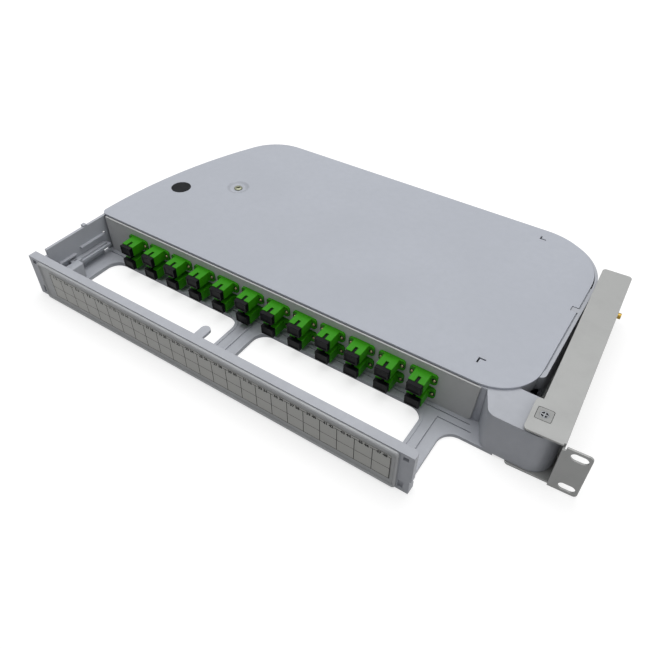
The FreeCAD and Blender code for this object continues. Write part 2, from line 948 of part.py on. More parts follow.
def front_bar():
    """The channel along the front, open to the rear, with ribs and a fibre tab."""
    skin = s.bar_skin
    left, right = -bar_left, -s.bar_right
    front, back, top = -s.bar_front, -s.bar_back, bar_top
    parts = [
        block("bar_web", (left, front, 0), (right, front + skin, top)),
        block("bar_crown", (left, front, top - skin), (right, back, top)),
        block("bar_sole", (left, front, 0), (right, back, s.floor)),
        block("bar_left_end", (left, front, 0), (left + s.bar_past_tray + skin * 2, back, top)),
        block("bar_right_end", (right - skin, front, 0), (right, back, top)),
    ]
    ribs = int(s.bar_ribs.value)
    step = (right - left) / (s.bar_ribs + 1)
    for number in range(1, ribs + 1):
        middle = left + step * number
        parts.append(
            block(
                f"bar_rib_{number}",
                (middle - skin / 2, front + skin / 2, s.floor / 2),
                (middle + skin / 2, back, top - skin / 2),
            )
        )
    tab_left = -cross_bar - s.tab_offset - s.tab_width / 2
    tab_right = -cross_bar - s.tab_offset + s.tab_width / 2
    tab_end = back + s.tab_reach
    tip = s.tab_width / 2 * s.full_round
    parts.append(
        prism(
            "fibre_tab",
            [
                (tab_left, back - skin),
                (tab_right, back - skin),
                (tab_right, tab_end, tip),
                (tab_left, tab_end, tip),
            ],
            top - skin,
            skin,
        )
    )
    return parts


def bar_end_step():
    """What is cut from the bar's right-hand end: a bevel at the top and a step below it."""
    right = -s.bar_right
    bevel = prism(
        "bar_end_bevel",
        [
            (right - s.bar_end_step * 2, -s.bar_back + s.overrun),
            (right - s.bar_end_step * 2, -s.bar_back),
            (right, -s.bar_back - s.bar_end_step * 2),
            (right + s.overrun, -s.bar_back - s.bar_end_step * 2),
            (right + s.overrun, -s.bar_back + s.overrun),
        ],
        s.floor + s.bar_skin,
        bar_top,
    )
    step = block(
        "bar_end_notch",
        (right - s.bar_end_step, -s.bar_front - s.overrun, -s.overrun),
        (right + s.overrun, -s.bar_back + s.overrun, s.bar_end_height),
    )
    return [bevel, step]


def bar_holes():
    """The clip holes in both ends of the bar's front."""
    cutters = []
    half = s.bar_hole / 2
    front = -s.bar_front - s.overrun
    back = -s.bar_front + s.bar_skin + s.overrun
    for side, middle, shift in (
        ("left", -bar_left + s.bar_hole_inset, s.bar_slot_shift),
        ("right", -s.bar_right - s.bar_hole_inset, -s.bar_slot_shift),
    ):
        high = bar_top - s.bar_skin - s.bar_hole
        cutters.append(
            block(
                f"clip_hole_{side}",
                (middle - half, front, high),
                (middle + half, back, high + s.bar_hole),
            )
        )
        cutters.append(
            block(
                f"clip_slot_{side}",
                (middle + shift - half, front, s.floor),
                (middle + shift + half, s.bar_slot_depth - s.bar_front, s.floor + s.bar_slot_height),
            )
        )
    return cutters


def left_arm():
    """The tall wall beside the left window, with the latch ledge and its guides."""
    outer = -wall_radius
    inner = outer + s.wall
    low_start = s.bar_back
    parts = [
        block("arm_wall", (outer, -s.arm_wall_front, 0), (inner, s.wall, wall_top)),
        block("arm_wall_step", (outer, -low_start, 0), (inner, -s.arm_wall_front, wall_top - s.floor * 2)),
        block(
            "latch_ledge",
            (inner, -low_start, s.arm_ledge_height - s.wall),
            (inner + s.arm_ledge_width, -s.plate_face * 2, s.arm_ledge_height),
        ),
        block(
            "latch_guide_front",
            (inner, -s.latch_front - s.latch_length, guide_height - s.guide_step),
            (
                inner + s.guide_width,
                -s.latch_front + s.latch_length,
                guide_height - s.guide_step + s.wall / 2,
            ),
        ),
        block(
            "latch_guide_rear",
            (inner, -s.latch_tongue, guide_height),
            (inner + s.guide_width, -s.window_back / 2, guide_height + s.wall / 2),
        ),
        block(
            "wall_catch",
            (outer - s.wall * 0.6, -s.window_back * 2.2, wall_top - s.wall),
            (inner, -s.window_back * 2.2 + s.wall * 1.4, wall_top + s.rim_rise),
        ),
    ]
    hole = s.arm_hole
    cutters = [
        block(
            "arm_hole_low",
            (outer - s.overrun, -s.plate_face - hole, s.floor),
            (inner + s.overrun, -s.plate_face, s.floor + hole),
        ),
        block(
            "arm_hole_high",
            (outer - s.overrun, -s.plate_face - s.wall, s.arm_upper_hole),
            (inner + s.overrun, 0, s.arm_upper_hole + s.wall),
        ),
    ]
    return parts, cutters


def floor_lines():
    """A ridge along the cross bar, and grooves that edge the raised pad of the right arm."""
    middle = -cross_bar
    ridge = block(
        "cross_bar_ridge",
        (middle - s.ridge_width / 2, -s.window_front, s.floor / 2),
        (middle + s.ridge_width / 2, -s.window_back, s.floor + s.ridge_height),
    )
    groove = s.groove_width
    deep = s.floor - s.groove_depth
    high = s.floor + s.overrun
    line = -(s.window_right_edge + s.arm_right) / 2
    across = -s.window_back
    cutters = [
        block("arm_groove", (line, -s.window_front, deep), (line + groove, across + groove, high)),
        block("pad_groove", (line, across, deep), (-s.housing_left, across + groove, high)),
        block(
            "plate_groove",
            (-plate_left, -s.plate_face * 2 - groove, deep),
            (-s.plate_right, -s.plate_face * 2, high),
        ),
    ]
    return ridge, cutters


def tray_base():
    """The tray moulding: compartment, floor, arms, front bar and pivot housing in one piece."""
    arm_parts, arm_cutters = left_arm()
    ridge, grooves = floor_lines()
    parts = [compartment(), front_floor(), pivot_housing(), ridge, side_rim(), lid_ledge()]
    parts += [corner_wall(), rim_tail()]
    parts += window_lips() + front_bar() + arm_parts + fixing_bosses() + [notch_tab()]
    blank = joined("tray_blank", parts)
    reach = s.housing_radius + s.foot_edge - s.flange_edge + s.sheet
    cutters = [
        rod("bracket_clearance", (0, 0, -s.overrun), reach, tray_low + s.overrun),
        block(
            "side_clearance",
            (-s.tray_right - s.foot_edge + s.flange_edge, 0, -s.overrun),
            (s.foot_edge, s.tray_rear + s.overrun, tray_low),
        ),
        rod("pivot_bore", (0, 0, -s.overrun), pivot_radius, s.bracket_height),
        rod(
            "lid_boss_bore",
            (*lid_screw_at, s.floor + s.wall),
            s.lid_screw_shank / 2 + s.pivot_fit,
            s.bracket_height,
        ),
    ]
    cutters += bar_holes() + bar_end_step() + arm_cutters + grooves + clamp_screw_holes()
    body = less("tray_base_body", blank, cutters)
    place(body, "tray_base", True)


def lid_boss_top():
    """The height at which the lid's screw pad meets the boss."""
    return lid_top - s.recess_depth - s.lid_thickness


def fixing_bosses():
    """Bosses on the floor: one for the lid's screw, pegs for the holders and the drums."""
    parts = [
        rod(
            "lid_boss",
            (*lid_screw_at, s.floor / 2),
            s.lid_boss_diameter / 2,
            lid_boss_top() - s.floor / 2,
        )
    ]
    for name, x, y in (
        ("left_drum_peg", *left_drum),
        ("right_drum_peg", *right_drum),
    ):
        half = s.drum_tab / 2
        high = s.floor + s.drum_height / 2
        parts.append(block(name, (x - half, y - half, s.floor / 2), (x + half, y + half, high)))
    return parts


def adapter_plate():
    """The plate that carries the adapters: one cut-out for each, in two rows."""
    bottom_right = -s.plate_right - s.plate_slant
    outline = [
        (-plate_left, s.floor),
        (bottom_right, s.floor, s.plate_round),
        (-s.plate_right, plate_top),
        (-plate_left, plate_top),
    ]
    body = doc.addObject("PartDesign::Body", "adapter_plate_body")
    front = new_sketch(body, "plate_outline", FRONT, -s.plate_face - s.plate_thickness)
    draw_outline(front, outline)
    pad(body, front, s.plate_thickness, "plate_pad")
    holes = new_sketch(body, "first_cutouts", FRONT, -s.plate_face - s.plate_thickness - s.overrun)
    half_width = s.adapter_width / 2 + s.adapter_gap
    half_height = s.adapter_height / 2 + s.adapter_gap
    for z in row_heights():
        draw_outline(
            holes,
            rectangle(
                -adapter_first - half_width,
                z - half_height,
                -adapter_first + half_width,
                z + half_height,
            ),
        )
    doc.recompute()
    whole = body.Shape.Volume
    pocket = body.newObject("PartDesign::Pocket", "first_cutouts_pocket")
    pocket.Profile = holes
    bind(pocket, "Length", s.plate_thickness + s.overrun * 2)
    doc.recompute()
    if body.Shape.Volume > whole - 1:
        pocket.Reversed = True
    row = body.newObject("PartDesign::LinearPattern", "cutout_columns")
    row.Originals = [pocket]
    row.Direction = (front, ["H_Axis"])
    bind(row, "Length", adapter_pitch * (s.adapter_columns - 1))
    bind(row, "Occurrences", s.adapter_columns)
    body.Tip = row
    place(body, "adapter_plate", True)


def row_heights():
    """The middle heights of the upper and the lower row of adapters."""
    middle = (s.floor + plate_top) / 2 - s.row_drop
    half = s.row_pitch / 2
    return middle + half, middle - half


def cut_corners(x, y, width, height, cut):
    """A rectangle about a middle, its four corners cut off."""
    right, top = x + width / 2, y + height / 2
    left, low = x - width / 2, y - height / 2
    return [
        (left + cut, low),
        (right - cut, low),
        (right, low + cut),
        (right, top - cut),
        (right - cut, top),
        (left + cut, top),
        (left, top - cut),
        (left, low + cut),
    ]


def adapter(label, x, z):
    """One adapter: a body through the plate, a flange, a port at each end, a sleeve between them."""
    flange_back = s.plate_face
    flange_front = flange_back - s.flange_thickness
    front = flange_front - s.adapter_nose
    back = flange_back + s.adapter_tail
    half_width = s.adapter_width / 2
    half_height = s.adapter_height / 2
    core = block(
        f"{label}_core",
        (x - half_width, front, z - half_height),
        (x + half_width, back, z + half_height),
    )
    flange = upright_prism(
        f"{label}_flange", cut_corners(x, z, s.flange_width, s.flange_height, s.flange_cut), flange_back,
        s.flange_thickness,
    )
    cutters = []
    for end, mouth, deep, key_end in (
        ("front", front - s.overrun, front + s.port_depth, front + s.key_length),
        ("rear", back - s.port_depth, back + s.overrun, back - s.key_length),
    ):
        cutters.append(
            block(
                f"{label}_{end}_port",
                (x - s.port_width / 2, mouth, z - s.port_height / 2),
                (x + s.port_width / 2, deep, z + s.port_height / 2),
            )
        )
        low = mouth if end == "front" else key_end
        high = key_end if end == "front" else deep
        cutters.append(
            block(
                f"{label}_{end}_key",
                (x - s.key_width / 2, low, z),
                (x + s.key_width / 2, high, z + half_height + s.overrun),
            )
        )
    shell = less(f"{label}_shell", joined(f"{label}_blank", [core, flange]), cutters)
    sleeve_start = front + s.port_depth / 2
    sleeve_length = back - s.port_depth / 2 - sleeve_start
    sleeve = many_sided(
        f"{label}_sleeve",
        (x, sleeve_start, z),
        s.sleeve_diameter,
        sleeve_length,
        int(s.sleeve_sides.value),
        (0, 1, 0),
    )
    place(joined(f"{label}_body", [shell, sleeve]), label, True)


def adapters():
    """Two rows of adapters, numbered from the left, upper row first in each column."""
    number = 0
    for column in range(int(s.adapter_columns.value)):
        x = -adapter_first + adapter_pitch * column
        for z in row_heights():
            number += 1
            adapter(f"adapter_{number:02d}", x, z)


def dust_cap(label, x, z, end):
    """One dust cap: a grip outside the port and a hollow plug inside it."""
    front = s.plate_face - s.flange_thickness - s.adapter_nose
    back = s.plate_face + s.adapter_tail
    if end == "front":
        grip = (front - s.cap_grip, front)
        plug = (front, front + s.cap_plug)
    else:
        grip = (back, back + s.cap_grip)
        plug = (back - s.cap_plug, back)
    outer = block(
        f"{label}_grip",
        (x - s.cap_width / 2, grip[0], z - s.cap_height / 2),
        (x + s.cap_width / 2, grip[1], z + s.cap_height / 2),
    )
    half_width = s.port_width / 2 - s.cap_gap
    half_height = s.port_height / 2 - s.cap_gap
    inner = block(
        f"{label}_plug",
        (x - half_width, plug[0], z - half_height),
        (x + half_width, plug[1], z + half_height),
    )
    blank = joined(f"{label}_blank", [outer, inner])
    wall = s.cap_gap * 4
    near, far = (plug[0], plug[1] + s.overrun) if end == "front" else (plug[0] - s.overrun, plug[1])
    bore = block(
        f"{label}_bore",
        (x - half_width + wall, near, z - half_height + wall),
        (x + half_width - wall, far, z + half_height - wall),
    )
    if end == "rear":
        return less(f"{label}_body", blank, [bore])
    recess = block(
        f"{label}_recess",
        (x - s.cap_width / 2 + s.cap_rim, grip[0] - s.overrun, z - s.cap_height / 2 + s.cap_rim),
        (x + s.cap_width / 2 - s.cap_rim, grip[0] + s.cap_recess, z + s.cap_height / 2 - s.cap_rim),
    )
    return less(f"{label}_body", blank, [bore, recess])


def dust_caps():
    """Four rows of caps: upper and lower, in front and behind."""
    for end in ("front", "rear"):
        for row, z in zip(("upper", "lower"), row_heights()):
            caps = []
            for column in range(int(s.adapter_columns.value)):
                x = -adapter_first + adapter_pitch * column
                caps.append(dust_cap(f"{end}_{row}_cap_{column + 1}", x, z, end))
            place(group(f"{end}_{row}_group", caps), f"{end}_caps_{row}", True)


def label_plate():
    """The clip-on plate on the bar's front, with a raised rim round the strip."""
    back = -s.bar_front
    face = rectangle(
        -label_left, s.label_bottom, -label_right, bar_top - s.label_bottom, s.label_rim
    )
    sheet_part = upright_prism("label_sheet", face, back, s.label_thickness)
    rim = s.label_rim
    hole = rectangle(
        -label_left + rim,
        s.label_bottom + rim,
        -label_right - rim,
        bar_top - s.label_bottom - rim,
        rim / 2,
    )
    frame = upright_prism(
        "label_frame", face, back, s.label_thickness + s.label_rim_height, holes=[hole]
    )
    blank = joined("label_plate_blank", [sheet_part, frame])
    body = front_edges_bevelled("label_plate_body", blank, s.label_edge_round)
    place(body, "label_plate", True)


def designation_strip():
    """The writing strip: a sheet with one cell for each port column and side."""
    back = -s.bar_front - s.label_thickness
    right = -label_right - s.strip_right_inset
    left = -label_left + s.strip_left_inset
    low = s.label_bottom + s.label_rim + s.strip_margin
    high = bar_top - s.label_bottom - s.label_rim - s.strip_head
    strip = upright_prism("strip_sheet", rectangle(left, low, right, high), back, s.strip_thickness)
    place(strip, "designation_strip", True)


def lid_outline(grow):
    """The lid seen from above, without its swept left end, grown by a gap."""
    far = s.swing_radius + s.lid_overhang
    right = -s.lid_right + grow
    rear = s.tray_rear + s.lid_overhang + grow
    return [
        (-far, s.lid_front - grow),
        (right, s.lid_front - grow, s.lid_front_round + grow),
        (right, rear, s.rear_right_round + grow),
        (-far, rear),
    ]


def l_mark(name, x, y, sign):
    """An L-shaped slit through the lid."""
    low = wall_top - s.overrun
    high = lid_top + s.overrun
    short = s.mark_length * s.mark_ratio
    near, far = (y - short, y + s.mark_width) if sign > 0 else (y, y + short)
    return [
        block(f"{name}_long", (x, y, low), (x + s.mark_length, y + s.mark_width, high)),
        block(f"{name}_short", (x, near, low), (x + s.mark_width, far, high)),
    ]


def lid():
    """The lift-off cover, with a dished seat for its screw and a blanked hole."""
    slab = prism("lid_outline", lid_outline(as_size(0)), wall_top, s.lid_thickness)
    sweep = rod("lid_sweep", (0, 0, 0), s.swing_radius, lid_top)
    slab = common("lid_slab", [slab, sweep])
    rear = s.tray_rear.value + s.lid_overhang.value
    corner = math.sqrt(s.swing_radius.value**2 - rear**2)
    slab = rounded("lid_rounded", slab, s.rear_left_round, [(-corner, rear)])
    front_corner = (-math.sqrt(s.swing_radius.value**2 - s.lid_front.value**2), s.lid_front.value)
    slab = rounded("lid_corners", slab, s.lid_left_round, [front_corner])
    dish_low = lid_boss_top()
    dish = rod(
        "lid_dish",
        (*lid_screw_at, dish_low),
        s.recess_diameter / 2 + s.lid_thickness,
        wall_top + s.lid_thickness / 2 - dish_low,
    )
    cutters = [
        cone(
            "lid_recess",
            (*lid_screw_at, lid_top - s.recess_depth),
            s.recess_diameter / 2 - s.recess_slope,
            s.recess_diameter / 2 + s.recess_slope,
            s.recess_depth * 2,
        ),
        rod(
            "lid_screw_hole",
            (*lid_screw_at, dish_low - s.overrun),
            s.lid_screw_shank / 2 + s.seat_gap,
            s.bracket_height,
        ),
        rod("plug_hole", (*plug_centre, 0), s.plug_head / 2, s.bracket_height),
        block(
            "lid_notch",
            (-s.lid_right - s.notch_depth, s.notch_place - s.notch_length / 2, wall_top - s.overrun),
            (-s.lid_right + s.overrun, s.notch_place + s.notch_length / 2, lid_top + s.overrun),
        ),
    ]
    cutters += l_mark("front_mark", -s.front_mark_left, s.front_mark_rear, 1)
    cutters += l_mark("rear_mark", -s.rear_mark_left, s.tray_rear - s.rear_mark_inset, -1)
    body = less("lid_body", joined("lid_blank", [slab, dish]), cutters)
    place(body, "lid", True)


def lid_plug():
    """The blanking disc pressed into the lid's round hole, flush on top."""
    edge = (plug_centre, s.plug_head / 2)
    place(prism("plug_disc", [], wall_top, s.lid_thickness, circles=[edge]), "lid_plug", True)


def lid_screw():
    """The lid's screw: a low head in the dish and a shank into the boss."""
    seat = lid_top - s.recess_depth
    head = rod(
        "lid_screw_head",
        (*lid_screw_at, seat),
        s.lid_screw_head / 2,
        s.recess_depth,
    )
    shank = rod(
        "lid_screw_shank",
        (*lid_screw_at, seat - s.lid_screw_length),
        s.lid_screw_shank / 2,
        s.lid_screw_length,
    )
    place(joined("lid_screw_body", [head, shank]), "lid_screw", True)


def side_latch():
    """The slide on the left arm's ledge: a thumb block with a tongue behind it."""
    inner = -wall_radius + s.wall
    bottom = s.arm_ledge_height
    start = inner + s.guide_width + s.seat_gap
    thumb = block(
        "latch_thumb",
        (start - s.guide_width, -s.latch_front, bottom),
        (start + s.latch_width - s.guide_width, -s.latch_front + s.latch_length, bottom + s.latch_height),
    )
    tongue = block(
        "latch_tongue",
        (start - s.guide_width, -s.latch_front + s.latch_length, bottom),
        (
            start - s.guide_width + s.latch_tongue_width,
            -s.latch_front + s.latch_length + s.latch_tongue,
            bottom + s.latch_tongue_height,
        ),
    )
    dent = block(
        "latch_dent",
        (start, -s.latch_front + s.latch_length / 3, bottom + s.latch_height / 2),
        (
            start + s.latch_width - s.guide_width - s.wall,
            -s.latch_front + s.latch_length * 2 / 3,
            bottom + s.latch_height + s.overrun,
        ),
    )
    place(less("latch_body", joined("latch_blank", [thumb, tongue]), [dent]), "side_latch", True)


def bend_drum(label, x, y):
    """A fibre drum: a ring wall with keeper tabs at its top, clipped on a floor peg."""
    sides = int(s.drum_sides.value)
    ring = many_sided(
        f"{label}_outer", (x, y, s.floor), s.drum_radius * 2, s.drum_height, sides
    )
    space = many_sided(
        f"{label}_inner",
        (x, y, s.floor + s.drum_wall),
        (s.drum_radius - s.drum_wall) * 2,
        s.drum_height,
        sides,
    )
    reach = s.drum_radius + s.drum_tab
    half = s.drum_tab / 2
    peg = block(f"{label}_peg_hole", (x - half, y - half, 0), (x + half, y + half, s.drum_height))
    top = s.floor + s.drum_height
    low = top - s.drum_wall
    tabs = [
        block(f"{label}_tabs_x", (x - reach, y - half, low), (x + reach, y + half, top)),
        block(f"{label}_tabs_y", (x - half, y - reach, low), (x + half, y + reach, top)),
    ]
    body = less(f"{label}_body", joined(f"{label}_blank", [ring] + tabs), [space, peg])
    place(body, label, True)


def splice_holder(label, x):
    """A comb block for twelve splice protectors side by side."""
    y = s.tray_rear - s.holder_from_rear
    half = s.holder_width / 2
    base = block(
        f"{label}_base",
        (x - s.holder_length / 2, y - half, s.floor),
        (x + s.holder_length / 2, y + half, s.floor + s.holder_base),
    )
    combs = []
    for name, offset in (("left", -0.3), ("right", 0.3)):
        middle = x + s.holder_length * offset
        combs.append(
            block(
                f"{label}_comb_{name}",
                (middle - s.holder_comb / 2, y - half, s.floor + s.holder_base / 2),
                (middle + s.holder_comb / 2, y + half, s.floor + s.holder_base + s.holder_comb),
            )
        )
    pitch = s.holder_width / (s.holder_slots + 0.4)
    slots = []
    for number in range(int(s.holder_slots.value)):
        middle = y - half + pitch * (number + 0.7)
        slots.append(
            block(
                f"{label}_slot_{number + 1}",
                (
                    x - s.holder_length,
                    middle - s.holder_slot_width / 2,
                    s.floor + s.holder_base + s.holder_slot_floor,
                ),
                (
                    x + s.holder_length,
                    middle + s.holder_slot_width / 2,
                    s.bracket_height,
                ),
            )
        )
    place(less(f"{label}_body", joined(f"{label}_blank", [base] + combs), slots), label, True)


def clamp_screw_places():
    """Where the two clamp screws stand."""
    half = s.clamp_screw_spacing / 2
    return (-s.clamp_place - half, -s.clamp_place + half)


def clamp_screw_holes():
    """Pilot holes in the floor for the clamp screws."""
    return [
        rod(f"clamp_pilot_{n}", (x, s.clamp_rear, s.floor / 2), s.clamp_screw / 2, s.floor)
        for n, x in enumerate(clamp_screw_places(), start=1)
    ]


def cable_clamp():
    """The strain relief beside the housing: a grooved base, a bar over it and two screws."""
    x, y = -s.clamp_place, s.clamp_rear
    half_length = s.clamp_length / 2
    half_width = s.clamp_width / 2
    top = s.floor + s.clamp_height
    base = block(
        "clamp_block",
        (x - half_length, y - half_width, s.floor),
        (x + half_length, y + half_width, top),
    )
    groove = lying_rod(
        "clamp_groove_cutter", (x, y - s.clamp_width, top), s.clamp_groove / 2, s.clamp_width * 2, (0, 1, 0)
    )
    holes = [
        rod(f"clamp_hole_{n}", (place_x, y, 0), s.clamp_screw / 2, s.bracket_height)
        for n, place_x in enumerate(clamp_screw_places(), start=1)
    ]
    place(less("clamp_base_body", base, [groove] + holes), "cable_clamp_base", True)
    bar = block(
        "clamp_bar_block",
        (x - half_length, y - half_width + s.sheet, top),
        (x + half_length, y + half_width - s.sheet, top + s.clamp_bar_height),
    )
    bar_cutters = [
        rod(f"clamp_bar_hole_{n}", (place_x, y, 0), s.clamp_screw / 2, s.bracket_height)
        for n, place_x in enumerate(clamp_screw_places(), start=1)
    ]
    place(less("clamp_bar_body", bar, bar_cutters), "cable_clamp_bar", True)
    screws = []
    for number, place_x in enumerate(clamp_screw_places(), start=1):
        low = s.floor / 2
        high = top + s.clamp_bar_height
        screws.append(
            joined(
                f"clamp_screw_{number}",
                [
                    rod(f"clamp_shank_{number}", (place_x, y, low), s.clamp_screw / 2, high - low),
                    many_sided(
                        f"clamp_head_{number}",
                        (place_x, y, high),
                        s.clamp_screw_head,
                        s.clamp_screw / 2,
                        6,
                    ),
                ],
            )
        )
    place(group("clamp_screw_group", screws), "cable_clamp_screws", True)


def check_and_write():
    """Recompute, stop if anything failed, and write one file for each piece."""
    doc.recompute()
    for item in doc.Objects:
        if "Invalid" in item.State or "Error" in item.State:
            raise RuntimeError(f"{item.Name} failed: {item.State}")
    os.makedirs("parts", exist_ok=True)
    for item in nodes:
        shape = item.Shape
        if shape.isNull() or not shape.isValid():
            raise RuntimeError(f"{item.Label} has no valid shape")
        shape.exportStep(f"parts/{item.Label}.step")
        print(item.Label, len(shape.Solids), round(shape.Volume, 1))


fill_sheet()
bracket()
pivot_bushes()
pivot_screws()
earth_insert()
tray_base()
adapter_plate()
adapters()
dust_caps()
label_plate()
designation_strip()
lid()
lid_plug()
lid_screw()
side_latch()
bend_drum("bend_drum_left", *left_drum)
bend_drum("bend_drum_right", *right_drum)
splice_holder("splice_holder_left", left_drum[0] - (left_drum[0] - right_drum[0]) / 3)
splice_holder("splice_holder_right", right_drum[0] + (left_drum[0] - right_drum[0]) / 3)
cable_clamp()
check_and_write()
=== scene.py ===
import json
import math

import bmesh
import bpy
from mathutils import Matrix, Vector

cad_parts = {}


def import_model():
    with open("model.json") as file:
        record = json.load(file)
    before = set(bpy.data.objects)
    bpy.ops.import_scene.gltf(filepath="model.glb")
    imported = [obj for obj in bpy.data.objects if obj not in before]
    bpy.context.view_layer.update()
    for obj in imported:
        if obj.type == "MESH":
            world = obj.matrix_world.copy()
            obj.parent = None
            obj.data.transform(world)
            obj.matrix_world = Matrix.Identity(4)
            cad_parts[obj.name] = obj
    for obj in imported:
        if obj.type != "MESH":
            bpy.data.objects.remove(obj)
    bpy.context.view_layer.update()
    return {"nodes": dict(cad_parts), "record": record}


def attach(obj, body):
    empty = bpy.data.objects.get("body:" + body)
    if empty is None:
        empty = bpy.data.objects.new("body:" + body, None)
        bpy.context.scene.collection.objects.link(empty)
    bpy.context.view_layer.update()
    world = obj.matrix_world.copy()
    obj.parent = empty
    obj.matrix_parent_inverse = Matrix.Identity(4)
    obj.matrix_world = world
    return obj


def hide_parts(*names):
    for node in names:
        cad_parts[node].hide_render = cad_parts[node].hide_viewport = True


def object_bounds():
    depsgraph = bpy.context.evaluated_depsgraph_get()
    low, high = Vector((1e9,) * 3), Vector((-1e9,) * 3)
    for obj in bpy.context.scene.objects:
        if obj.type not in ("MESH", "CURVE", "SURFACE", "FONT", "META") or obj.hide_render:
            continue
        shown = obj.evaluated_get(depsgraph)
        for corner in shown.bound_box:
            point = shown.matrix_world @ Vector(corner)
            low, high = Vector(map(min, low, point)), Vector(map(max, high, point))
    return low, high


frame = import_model()

# The CAD macro's sizes are in millimetres, from the pivot axis at the underside of the bracket.
MM = 0.001
REST_TURN = math.radians(-2.7)
PIVOT = Vector((-0.0292, 0.0174, -0.0215))
TRAY = Matrix.Translation(PIVOT) @ Matrix.Rotation(REST_TURN, 4, "Z") @ Matrix.Scale(MM, 4)
BRACKET = Matrix.Translation(PIVOT) @ Matrix.Scale(MM, 4)

# Adapters: the first column's middle, the rows' middles, and how far a screw sits from a middle
FIRST_ADAPTER = -375.7
ADAPTER_PITCH = 26.27
ADAPTER_COLUMNS = 12
ROW_HEIGHTS = (27.85, 13.55)
SCREW_REACH = 9.0
FLANGE_FRONT = -0.8

# The lid screw's top, and how dark the painted shade on the slope of its dish is against the lid
LID_SCREW = Vector((-347.0, 108.0, 41.0))
DISH_SHADE_TONE = 0.84

# The bracket's top, and the gap that keeps a drawn seam off the face below it
BRACKET_TOP = 43.0
SEAM_GAP = 0.012

# The printed grid on the designation strip
STRIP_LEFT = -399.7
STRIP_RIGHT = -69.7
STRIP_FACE = -78.2
STRIP_CELLS = 24
GRID_BOTTOM = 8.7
GRID_TOP = 31.4


# Materials

class Nodes:
    """A material's node tree, with short ways to add nodes and links."""

    def __init__(self, name):
        self.material = bpy.data.materials.new(name)
        self.material.use_nodes = True
        self.tree = self.material.node_tree
        self.shader = self.tree.nodes["Principled BSDF"]
        self.place = self.add("ShaderNodeTexCoord").outputs["Object"]

    def add(self, kind, **values):
        node = self.tree.nodes.new(kind)
        for key, value in values.items():
            setattr(node, key, value)
        return node

    def link(self, output, target):
        self.tree.links.new(output, target)

    def noise(self, scale, detail=3.0, roughness=0.55, stretch=None):
        node = self.add("ShaderNodeTexNoise")
        node.inputs["Scale"].default_value = scale
        node.inputs["Detail"].default_value = detail
        node.inputs["Roughness"].default_value = roughness
        place = self.place
        if stretch:
            mapping = self.add("ShaderNodeMapping")
            mapping.inputs["Scale"].default_value = stretch
            self.link(place, mapping.inputs["Vector"])
            place = mapping.outputs["Vector"]
        self.link(place, node.inputs["Vector"])
        return node.outputs["Fac"]

    def spread(self, value, low, high, to_low, to_high):
        node = self.add("ShaderNodeMapRange")
        node.inputs["From Min"].default_value = low
        node.inputs["From Max"].default_value = high
        node.inputs["To Min"].default_value = to_low
        node.inputs["To Max"].default_value = to_high
        self.link(value, node.inputs["Value"])
        return node.outputs["Result"]

    def mix(self, share, first, second, blend="MIX"):
        node = self.add("ShaderNodeMix")
        node.data_type = "RGBA"
        node.blend_type = blend
        sockets = [s for s in node.inputs if s.enabled]
        for socket, value in zip(sockets, (share, first, second)):
            if hasattr(value, "is_output"):
                self.link(value, socket)
            elif isinstance(value, (tuple, list)):
                socket.default_value = (*value, 1.0)
            else:
                socket.default_value = value
        return [s for s in node.outputs if s.enabled][0]

    def maths(self, operation, first, second=None):
        node = self.add("ShaderNodeMath")
        node.operation = operation
        for socket, value in zip(node.inputs, (first, second)):
            if value is None:
                continue
            if hasattr(value, "is_output"):
                self.link(value, socket)
            else:
                socket.default_value = value
        return node.outputs["Value"]

    def ring(self, centre, inner, outer, fade):
        """1 between two distances from an upright axis, fading to 0 on both sides."""
        flat = self.add("ShaderNodeMapping")
        flat.inputs["Scale"].default_value = (1, 1, 0)
        self.link(self.place, flat.inputs["Vector"])
        reach = self.add("ShaderNodeVectorMath", operation="DISTANCE")
        self.link(flat.outputs["Vector"], reach.inputs[0])
        reach.inputs[1].default_value = (centre.x, centre.y, 0)
        away = reach.outputs["Value"]
        rising = self.spread(away, inner - fade, inner, 0.0, 1.0)
        falling = self.spread(away, outer, outer + fade, 1.0, 0.0)
        return self.maths("MULTIPLY", rising, falling)

    def edges(self, radius):
        """1 on edges and corners and 0 on flat faces."""
        bevel = self.add("ShaderNodeBevel")
        bevel.samples = 6
        bevel.inputs["Radius"].default_value = radius
        geometry = self.add("ShaderNodeNewGeometry")
        dot = self.add("ShaderNodeVectorMath")
        dot.operation = "DOT_PRODUCT"
        self.link(bevel.outputs["Normal"], dot.inputs[0])
        self.link(geometry.outputs["True Normal"], dot.inputs[1])
        return self.spread(dot.outputs["Value"], 0.98, 0.80, 0.0, 1.0), bevel.outputs["Normal"]


def srgb(red, green, blue):
    """A colour given as it looks on a screen, 0 to 255."""
    def linear(value):
        value = value / 255
        return value / 12.92 if value <= 0.04045 else ((value + 0.055) / 1.055) ** 2.4
    return linear(red), linear(green), linear(blue)


def scaled(colour, factor):
    return tuple(min(1.0, part * factor) for part in colour)


